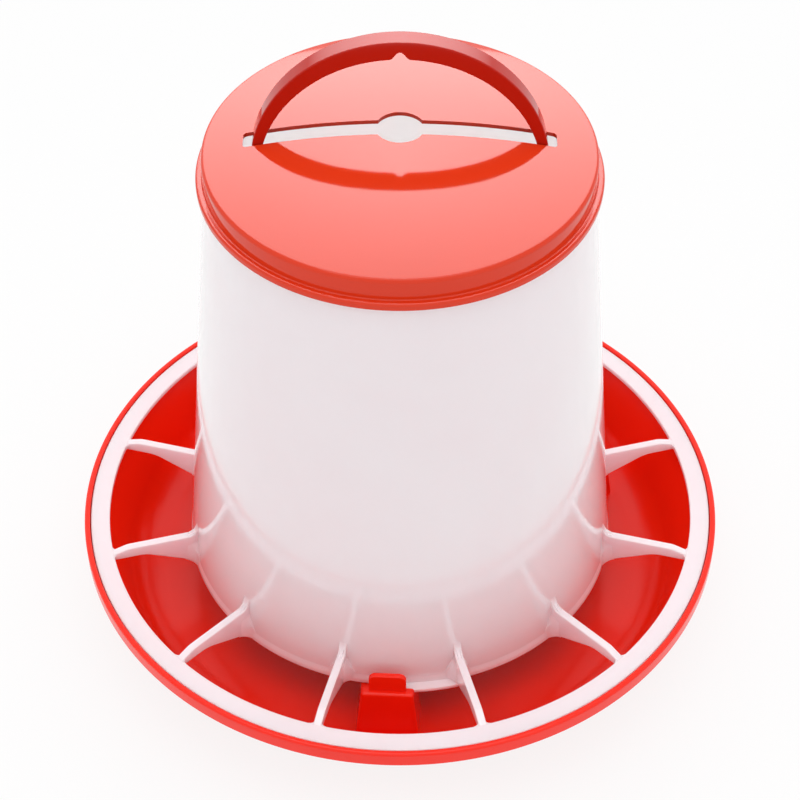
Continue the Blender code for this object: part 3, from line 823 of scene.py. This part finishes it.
def handle_line(handle, hopper):
    """Outline of the handle: a crescent with a notch under its top, and two turned-out feet."""
    steps = 96
    centre_out = handle.apex_z - handle.radius
    centre_in = handle.apex_z - handle.grip - handle.inner
    middle = hopper.shoulder_z + hopper.neck / 2.0
    low, high = middle - handle.foot / 2.0, middle + handle.foot / 2.0
    leg_top = max(high + handle.foot / 3.0, centre_out)
    foot_end = hopper.top_radius - hopper.neck_step - hopper.wall - 2.0 * SEAT_GAP

    first = math.asin(min(1.0, max(0.0, (leg_top - centre_out) / handle.radius)))
    outer = arc(handle.radius, centre_out, first, math.pi - 2.0 * first, steps)
    left_foot = [
        (-handle.radius, high),
        (-foot_end, high),
        (-foot_end, low),
        (-handle.inner + handle.grip / 4.0, low),
    ]
    right_foot = [(-x, z) for x, z in reversed(left_foot)]

    first = math.asin(min(1.0, max(0.0, (leg_top - centre_in) / handle.inner)))
    notch = handle.notch_width / 2.0
    gap = math.asin(notch / handle.inner)
    inner = arc(handle.inner, centre_in, math.pi - first, first + gap - math.pi / 2.0, steps // 2)
    crown = centre_in + handle.inner
    curl = 6
    for step in range(1, curl + 1):
        share = step / curl
        rise = handle.notch_depth * math.sin(share * math.pi / 2.0) ** 1.5
        inner.append((-notch + notch * share, crown + rise))
    mirrored = [(-x, z) for x, z in reversed(inner[:-1])]
    return outer + left_foot + inner + mirrored + right_foot


def lid_section(lid, hopper):
    """Section of the lid: shallow dome, rounded edge, wall and flange, and back inside."""
    seat = hopper.shoulder_z + SEAT_GAP
    edge = seat + lid.edge
    wall = lid.radius - lid.step
    flange_top = seat + lid.flange
    dome = (wall ** 2 + lid.rise ** 2) / (2.0 * lid.rise)
    centre = edge + lid.rise - dome

    def dome_line(radius, reach, count):
        """Corners from the axis outwards along the dome, without its last point."""
        points = []
        for step in range(count):
            across = reach * step / count
            points.append((across, centre + math.sqrt(radius ** 2 - across ** 2), 0.0, 0))
        return points

    inner_wall = wall - lid.wall
    under = dome - lid.wall
    inner_edge = centre + math.sqrt(under ** 2 - inner_wall ** 2)
    return rounded(
        dome_line(dome, wall, 26)
        + [
            (wall, edge, lid.fillet, 12),
            (wall, flange_top, 0.5 * MM, 4),
            (lid.radius, flange_top, 1.1 * MM, 8),
            (lid.radius, seat, 0.5 * MM, 4),
            (inner_wall, seat, 0.3 * MM, 3),
            (inner_wall, inner_edge, lid.fillet - lid.wall, 8),
        ]
        + dome_line(under, inner_wall, 16)[::-1]
    )


def slot_cutter(lid, hopper):
    """The long slot and its round middle, as one upright solid."""
    low = up(hopper.shoulder_z)
    height = up(2.0 * (lid.edge + lid.rise))
    half_length = lid.slot_length / 2.0
    half_width = lid.slot_width / 2.0
    join = math.asin(half_width / lid.hole)
    line = []
    for end in (1.0, -1.0):
        for corner in rounded(
            [
                (lid.hole, -half_width, 0.0, 0),
                (half_length, -half_width, 1.5 * MM, 6),
                (half_length, half_width, 1.5 * MM, 6),
                (lid.hole, half_width, 0.0, 0),
            ]
        )[1:-1]:
            line.append((corner.x * end, corner.y * end))
        line += [(x * end, y * end) for x, y in arc(lid.hole, 0.0, join, math.pi - 2.0 * join, 28)]
    return slab("slot", [Vector((x, y, 0.0)) + low for x, y in line], height)


class FEEDER_OT_tray(bpy.types.Operator):
    """Model the red pan with its spreading cone and bayonet lugs"""

    bl_idname = "feeder.tray"
    bl_label = "Pan"

    def execute(self, context):
        tray, hopper = sizes()[:2]
        pan = turned("feed_pan", tray_section(tray, hopper), False)
        combine(pan, round_copies(lug(tray, hopper), LUGS, LUG_TURN), "UNION")
        set_in_place(pan, "tray", "tray", pan_red())
        return {"FINISHED"}


class FEEDER_OT_hopper(bpy.types.Operator):
    """Model the milky hopper with its neck, webs, ring and bayonet flanges"""

    bl_idname = "feeder.hopper"
    bl_label = "Hopper and grille"

    def execute(self, context):
        tray, hopper, _, handle = sizes()
        body = turned("hopper_and_grille", hopper_section(hopper), True)
        ring_in = ring_outer(tray) - hopper.ring_width
        low = hopper.ring_z - hopper.ring_thick
        ring = turned(
            "ring",
            rounded(
                [
                    (ring_in, low, 0.4 * MM, 3),
                    (ring_outer(tray), low, 0.4 * MM, 3),
                    (ring_outer(tray), hopper.ring_z, 0.6 * MM, 5),
                    (ring_in, hopper.ring_z, 0.6 * MM, 5),
                ]
            ),
            True,
        )
        out, side = on_side(WEB_TURN / 2.0)
        line = [out * p.x + up(p.y) - side * hopper.web / 2.0 for p in web_line(tray, hopper)]
        web = soften(slab("web", line, side * hopper.web), 0.5 * MM)
        for corners in (web_flare(tray, hopper), web_root(hopper, 1.0), web_root(hopper, -1.0)):
            combine(web, corners, "UNION")
        webs = round_copies(web, WEBS, WEB_TURN)
        combine(webs, ring, "UNION")
        # The rounded roots meet the wall almost flat, where EXACT would leave open edges.
        combine(body, webs, "UNION", "MANIFOLD")
        combine(body, round_copies(flange(tray, hopper), LUGS, LUG_TURN), "UNION", "MANIFOLD")
        reach = hopper.top_radius
        hole = stud(hopper, "stud_holes", -reach, 2.0 * reach, handle.stud + PLAY)
        combine(body, hole, "DIFFERENCE", "MANIFOLD")
        set_in_place(body, "hopper", "hopper", milky_white())
        return {"FINISHED"}


class FEEDER_OT_handle(bpy.types.Operator):
    """Model the red arch handle with its hanging notch, feet and studs"""

    bl_idname = "feeder.handle"
    bl_label = "Handle"

    def execute(self, context):
        _, hopper, _, handle = sizes()
        front = -handle.depth / 2.0
        line = [Vector((x, front, z)) for x, z in handle_line(handle, hopper)]
        arch = soften(slab("arch_handle", line, Vector((0.0, handle.depth, 0.0))), handle.edge, 4)
        root = handle.radius + handle.edge
        reach = hopper.top_radius - hopper.neck_step - root
        for name, start in (("stud_right", root), ("stud_left", -root - reach)):
            combine(arch, stud(hopper, name, start, reach, handle.stud), "UNION")
        set_in_place(arch, "handle", "hopper", handle_shaded_red())
        return {"FINISHED"}


class FEEDER_OT_lid(bpy.types.Operator):
    """Model the red domed lid with its flange, handle slot and round hole"""

    bl_idname = "feeder.lid"
    bl_label = "Lid"

    def execute(self, context):
        _, hopper, lid, _ = sizes()
        dome = turned("domed_lid", lid_section(lid, hopper), False)
        combine(dome, slot_cutter(lid, hopper), "DIFFERENCE")
        set_in_place(dome, "lid", "lid", lid_shaded_red())
        return {"FINISHED"}


def area_lamp(name, place, target, size, power, spread=WIDE_SPREAD):
    """A soft oblong lamp that faces a target; a small spread fades it towards its edges."""
    bench()
    bpy.ops.object.light_add(type="AREA", location=place)
    lamp = bpy.context.object
    lamp.name = name
    lamp.data.shape = "RECTANGLE"
    lamp.data.size, lamp.data.size_y = size
    lamp.data.energy = power
    lamp.data.spread = spread
    lamp.rotation_euler = (Vector(target) - Vector(place)).to_track_quat("-Z", "Y").to_euler()
    return lamp


def seen_directly(tree):
    """A mask that is 1 for what the camera, gloss and glass see, and 0 for the light on the object."""
    path = tree.nodes.new("ShaderNodeLightPath")
    either = math_of(tree, "MAXIMUM", path.outputs["Is Camera Ray"], path.outputs["Is Glossy Ray"])
    return math_of(tree, "MAXIMUM", either, path.outputs["Is Transmission Ray"])


def pale_floor():
    """A matt pale floor that looks near white and keeps the object's shadow."""
    look = bpy.context.scene.feeder_look
    material = bpy.data.materials.new("pale floor")
    material.use_nodes = True
    tree = material.node_tree
    nodes, links = tree.nodes, tree.links
    matt = nodes["Principled BSDF"]
    matt.inputs["Base Color"].default_value = (look.floor_tone, look.floor_tone, look.floor_tone, 1.0)
    matt.inputs["Roughness"].default_value = 0.95
    matt.inputs["Specular IOR Level"].default_value = 0.0
    white = nodes.new("ShaderNodeEmission")
    white.inputs["Color"].default_value = WHITE
    white.inputs["Strength"].default_value = 1.0
    share = math_of(tree, "MULTIPLY", seen_directly(tree), look.floor_white)
    mix = nodes.new("ShaderNodeMixShader")
    links.new(share, mix.inputs["Fac"])
    links.new(matt.outputs["BSDF"], mix.inputs[1])
    links.new(white.outputs["Emission"], mix.inputs[2])
    links.new(mix.outputs["Shader"], nodes["Material Output"].inputs["Surface"])
    return material


def studio_sky(scene):
    """A plain sky that lights the object, weaker overhead, and the white backdrop that is seen."""
    look = scene.feeder_look
    world = bpy.data.worlds.new("studio") if scene.world is None else scene.world
    scene.world = world
    world.use_nodes = True
    tree = world.node_tree
    tree.nodes.clear()
    output = tree.nodes.new("ShaderNodeOutputWorld")
    mix = tree.nodes.new("ShaderNodeMixShader")
    light = tree.nodes.new("ShaderNodeBackground")
    backdrop = tree.nodes.new("ShaderNodeBackground")
    place = tree.nodes.new("ShaderNodeTexCoord")
    along = tree.nodes.new("ShaderNodeVectorMath")
    along.operation = "DOT_PRODUCT"
    along.inputs[1].default_value = (0.0, look.sky_back, -look.sky_fall)
    backdrop.inputs["Color"].default_value = WHITE
    backdrop.inputs["Strength"].default_value = 1.0
    light.inputs["Color"].default_value = WHITE
    tree.links.new(place.outputs["Generated"], along.inputs[0])
    tree.links.new(math_of(tree, "ADD", along.outputs["Value"], look.sky), light.inputs["Strength"])
    tree.links.new(seen_directly(tree), mix.inputs["Fac"])
    tree.links.new(light.outputs["Background"], mix.inputs[1])
    tree.links.new(backdrop.outputs["Background"], mix.inputs[2])
    tree.links.new(mix.outputs["Shader"], output.inputs["Surface"])


class FEEDER_OT_stage(bpy.types.Operator):
    """Set up the pale floor, the soft studio light and the camera"""

    bl_idname = "feeder.stage"
    bl_label = "Stage"

    def execute(self, context):
        scene = context.scene
        look = scene.feeder_look
        bench()
        below = (0.0, 0.0, -0.5 * MM)
        bpy.ops.mesh.primitive_circle_add(vertices=96, radius=6.0, fill_type="NGON", location=below)
        floor = context.object
        floor.name = "studio_floor"
        floor.data.materials.append(pale_floor())
        studio_sky(scene)
        back = area_lamp(
            "back lamp",
            place=(0.0, 1.0, 1.39),
            target=(0.0, 0.094, 0.967),
            size=(2.6, 2.1),
            power=look.back_power,
            spread=SOFT_SPREAD,
        )
        back.visible_glossy = False
        card = area_lamp(
            "gloss card",
            place=(0.0, 0.94, 1.27),
            target=(0.0, 0.0, 0.23),
            size=(2.6, 2.34),
            power=look.card_power,
            spread=SOFT_SPREAD,
        )
        card.visible_diffuse = False
        card.visible_transmission = False
        shiny = bpy.data.collections.new("shiny pieces")
        for name in ("domed_lid", "arch_handle"):
            shiny.objects.link(bpy.data.objects[name])
        card.light_linking.receiver_collection = shiny
        area_lamp(
            "top lamp",
            place=(0.0, -0.3, 1.7),
            target=(0.0, -0.05, 0.05),
            size=(1.6, 1.2),
            power=look.top_power,
        )

        bench()
        elevation = look.camera_elevation
        away = look.camera_distance
        place = (0.0, -away * math.cos(elevation), look.target_z + away * math.sin(elevation))
        bpy.ops.object.camera_add(location=place, rotation=(math.pi / 2.0 - elevation, 0.0, 0.0))
        camera = context.object
        camera.name = "photo camera"
        camera.data.lens = look.lens
        camera.data.sensor_width = SENSOR_WIDTH
        scene.camera = camera
        scene.view_settings.view_transform = "Standard"
        return {"FINISHED"}


class FEEDER_PT_panel(bpy.types.Panel):
    """Buttons for the feeder's pieces and its stage"""

    bl_idname = "FEEDER_PT_panel"
    bl_label = "Poultry feeder"
    bl_space_type = "VIEW_3D"
    bl_region_type = "UI"
    bl_category = "Feeder"

    def draw(self, context):
        for operator in OPERATORS:
            self.layout.operator(operator.bl_idname)
        for group in SETTINGS:
            box = self.layout.box()
            holder = getattr(context.scene, group)
            for name in holder.__annotations__:
                box.prop(holder, name)


SETTINGS = {
    "feeder_tray": FeederTraySizes,
    "feeder_hopper": FeederHopperSizes,
    "feeder_lid": FeederLidSizes,
    "feeder_handle": FeederHandleSizes,
    "feeder_look": FeederLook,
}
OPERATORS = (FEEDER_OT_tray, FEEDER_OT_hopper, FEEDER_OT_handle, FEEDER_OT_lid, FEEDER_OT_stage)


def register():
    for name, group in SETTINGS.items():
        bpy.utils.register_class(group)
        setattr(bpy.types.Scene, name, bpy.props.PointerProperty(type=group))
    for operator in OPERATORS:
        bpy.utils.register_class(operator)
    bpy.utils.register_class(FEEDER_PT_panel)


def unregister():
    bpy.utils.unregister_class(FEEDER_PT_panel)
    for operator in reversed(OPERATORS):
        bpy.utils.unregister_class(operator)
    for name, group in reversed(list(SETTINGS.items())):
        delattr(bpy.types.Scene, name)
        bpy.utils.unregister_class(group)


def main():
    register()
    bpy.ops.feeder.tray()
    bpy.ops.feeder.hopper()
    bpy.ops.feeder.handle()
    bpy.ops.feeder.lid()
    bpy.ops.feeder.stage()


if __name__ == "__main__":
    main()
